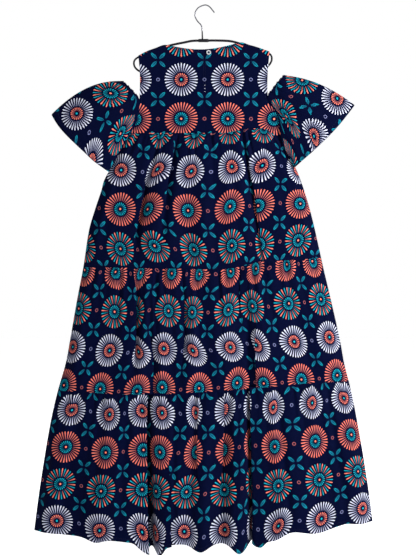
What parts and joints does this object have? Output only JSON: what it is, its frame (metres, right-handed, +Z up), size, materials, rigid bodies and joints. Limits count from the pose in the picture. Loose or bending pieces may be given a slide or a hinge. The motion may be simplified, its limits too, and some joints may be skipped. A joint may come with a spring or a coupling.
{
  "type": "tiered dress on a clothes hanger",
  "caption": "Long tiered dress with open-shoulder flared sleeves, gathered tiers and a buttoned back neck, hanging from a slim hanger with a wire hook.",
  "frame": {"origin": "underside of the hook's wire at its highest point, where it bears on a rail", "axes": "+Z up; +X across the dress, to the right when its back is looked at; -Y is the side of the dress's back, +Y of its front"},
  "size_m": [0.9656, 0.1529, 1.5567],
  "materials": {
    "printed_cotton": "crisp printed cotton, navy ground with coral, teal and white motifs",
    "button": "polished, white",
    "thread": "navy sewing thread",
    "hanger": "black, satin",
    "hook_wire": "drawn steel wire"
  },
  "bodies": {
    "root": {"yoke_back": "printed_cotton", "yoke_front": "printed_cotton", "tier_1_back": "printed_cotton", "tier_1_front": "printed_cotton", "tier_2_back": "printed_cotton", "tier_2_front": "printed_cotton", "tier_3_back": "printed_cotton", "tier_3_front": "printed_cotton", "sleeve_left": "printed_cotton", "sleeve_right": "printed_cotton", "button": "button", "button_loop": "thread", "hanger_frame": "hanger", "hanger_block": "hanger", "hanger_hook": "hook_wire"}
  },
  "joints": []
}
